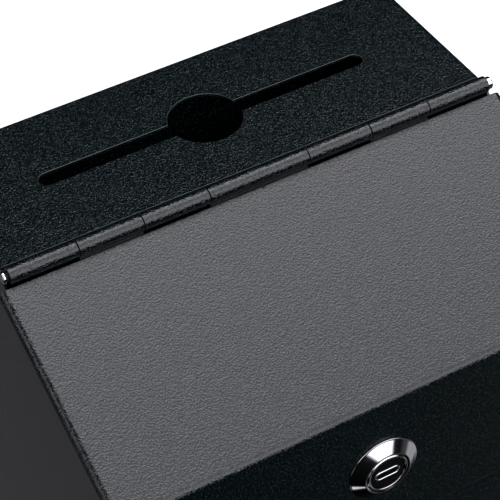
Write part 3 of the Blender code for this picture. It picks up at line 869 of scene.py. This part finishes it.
def make_soft_box_group():
    """How much of a flat soft box is seen along a direction, with blurred edges."""
    tree, given, result = shader_group(
        "soft_box",
        [("Direction", VECTOR, None), ("Facing", VECTOR, None), ("Across", VECTOR, None),
         ("Up", VECTOR, None), ("Centre Across", FLOAT, 0.0), ("Centre Up", FLOAT, 0.0),
         ("Half Width", FLOAT, 0.5), ("Half Height", FLOAT, 0.5), ("Blur", FLOAT, 0.1)],
        [("Mask", FLOAT)],
    )

    def along(name):
        node = tree.nodes.new("ShaderNodeVectorMath")
        node.operation = "DOT_PRODUCT"
        wire(tree, given.outputs["Direction"], node.inputs[0])
        wire(tree, given.outputs[name], node.inputs[1])
        return node.outputs["Value"]

    depth = math_node(tree, "MAXIMUM", along("Facing"), 0.001)
    masks = []
    for way, half, centre in (("Across", "Half Width", "Centre Across"), ("Up", "Half Height", "Centre Up")):
        place = math_node(tree, "DIVIDE", along(way), depth)
        place = math_node(tree, "SUBTRACT", place, given.outputs[centre])
        place = math_node(tree, "ABSOLUTE", place)
        inner = math_node(tree, "SUBTRACT", given.outputs[half], given.outputs["Blur"])
        outer = math_node(tree, "ADD", given.outputs[half], given.outputs["Blur"])
        masks.append(spread(tree, place, inner, outer, 1.0, 0.0, "SMOOTHSTEP"))
    both = math_node(tree, "MULTIPLY", masks[0], masks[1])
    front = math_node(tree, "GREATER_THAN", along("Facing"), 0.01)
    wire(tree, math_node(tree, "MULTIPLY", both, front), result.inputs["Mask"])
    return tree


# name: facing, across, up, centre across, centre up, half width, half height, blur, strength
SOFT_BOXES = {
    "overhead": ((0.0, 0.0, 1.0), (1.0, 0.0, 0.0), (0.0, 1.0, 0.0), 0.55, -0.335, 0.85, 0.835, 0.08, 1.66),
    "overhead_glow": ((0.0, 0.0, 1.0), (1.0, 0.0, 0.0), (0.0, 1.0, 0.0), 0.55, 0.205, 0.8, 0.295, 0.06, 2.7),
    "front": ((0.0, -1.0, 0.0), (1.0, 0.0, 0.0), (0.0, 0.0, 1.0), 0.4, 0.55, 1.15, 0.42, 0.05, 2.8),
    "left": ((-1.0, 0.0, 0.0), (0.0, 1.0, 0.0), (0.0, 0.0, 1.0), 0.0, 0.62, 0.8, 0.3, 0.08, 1.5),
    "left_fill": ((-1.0, 0.0, 0.0), (0.0, 1.0, 0.0), (0.0, 0.0, 1.0), -0.3, -0.2, 0.7, 0.25, 0.1, 0.35),
    "right_low": ((0.8, -0.05, -0.6), (0.05, 1.0, 0.0), (0.6, 0.0, 0.8), 0.0, 0.0, 0.4, 0.3, 0.1, 0.34),
    "floor_glimpse": ((-0.33, -0.3, -0.89), (0.94, -0.1, -0.32), (0.0, 0.95, -0.32),
                      0.0, 0.0, 0.11, 0.12, 0.04, 1.0),
    "back_left_low": ((-0.33, 0.65, -0.684), (0.89, 0.45, 0.0), (0.31, -0.61, -0.73),
                      0.0, 0.0, 0.55, 0.7, 0.3, 0.1),
    "flap_side_low": ((0.62, -0.5, -0.6), (0.63, 0.78, 0.0), (0.47, -0.38, 0.8),
                      0.0, 0.0, 0.25, 0.5, 0.15, 0.06),
}


def make_studio():
    world = bpy.data.worlds.new("studio")
    bpy.context.scene.world = world
    world.use_nodes = True
    tree = world.node_tree
    tree.nodes.clear()
    way = tree.nodes.new("ShaderNodeTexCoord").outputs["Generated"]
    group = make_soft_box_group()
    total = None
    for facing, across, up, mid_across, mid_up, width, height, blur, strength in SOFT_BOXES.values():
        mask = placed_group(
            tree, group,
            {"Direction": way, "Facing": facing, "Across": across, "Up": up, "Centre Across": mid_across,
             "Centre Up": mid_up, "Half Width": width, "Half Height": height, "Blur": blur},
        )["Mask"]
        lit = math_node(tree, "MULTIPLY", mask, strength)
        total = lit if total is None else math_node(tree, "ADD", total, lit)
    split = tree.nodes.new("ShaderNodeSeparateXYZ")
    wire(tree, way, split.inputs[0])
    below = spread(tree, split.outputs["Z"], -0.75, 0.3, 0.001, 0.006)
    total = math_node(tree, "ADD", total, below)
    room = tree.nodes.new("ShaderNodeBackground")
    wire(tree, total, room.inputs["Strength"])
    room.inputs["Color"].default_value = (1.0, 0.985, 1.045, 1.0)
    seen = tree.nodes.new("ShaderNodeBackground")
    seen.inputs["Color"].default_value = (1.0, 1.0, 1.0, 1.0)
    ray = tree.nodes.new("ShaderNodeLightPath")
    mix = tree.nodes.new("ShaderNodeMixShader")
    wire(tree, ray.outputs["Is Camera Ray"], mix.inputs[0])
    wire(tree, room.outputs[0], mix.inputs[1])
    wire(tree, seen.outputs[0], mix.inputs[2])
    out = tree.nodes.new("ShaderNodeOutputWorld")
    wire(tree, mix.outputs[0], out.inputs["Surface"])


def make_floor():
    mesh = bpy.data.meshes.new("floor")
    bm = bmesh.new()
    bmesh.ops.create_grid(bm, x_segments=1, y_segments=1, size=6.0)
    bm.to_mesh(mesh)
    bm.free()
    floor = bpy.data.objects.new("floor", mesh)
    bpy.context.scene.collection.objects.link(floor)
    mat, tree, shader, place = new_material("pale_floor", (0.86, 0.86, 0.86), 0.9, specular=0.1)
    tone = noise(tree, place, 3.0, 2.0, 0.5)
    wire(tree, mix_colour(tree, tone, (0.86, 0.86, 0.86), (0.88, 0.88, 0.88)), shader.inputs["Base Color"])
    shader.inputs["Emission Color"].default_value = (1.0, 1.0, 1.0, 1.0)
    shader.inputs["Emission Strength"].default_value = 0.2
    mesh.materials.append(mat)
    floor.visible_glossy = False
    floor.visible_diffuse = False


def make_camera():
    data = bpy.data.cameras.new("camera")
    data.lens = CAMERA_LENS
    data.sensor_width = 36.0
    camera = bpy.data.objects.new("camera", data)
    bpy.context.scene.collection.objects.link(camera)
    turn = Euler([math.radians(angle) for angle in CAMERA_TURN])
    camera.matrix_world = Matrix.LocRotScale(Vector(CAMERA_PLACE), turn, None)
    bpy.context.scene.camera = camera
    bpy.context.scene.view_settings.view_transform = "Standard"


make_studio()
make_floor()
make_camera()
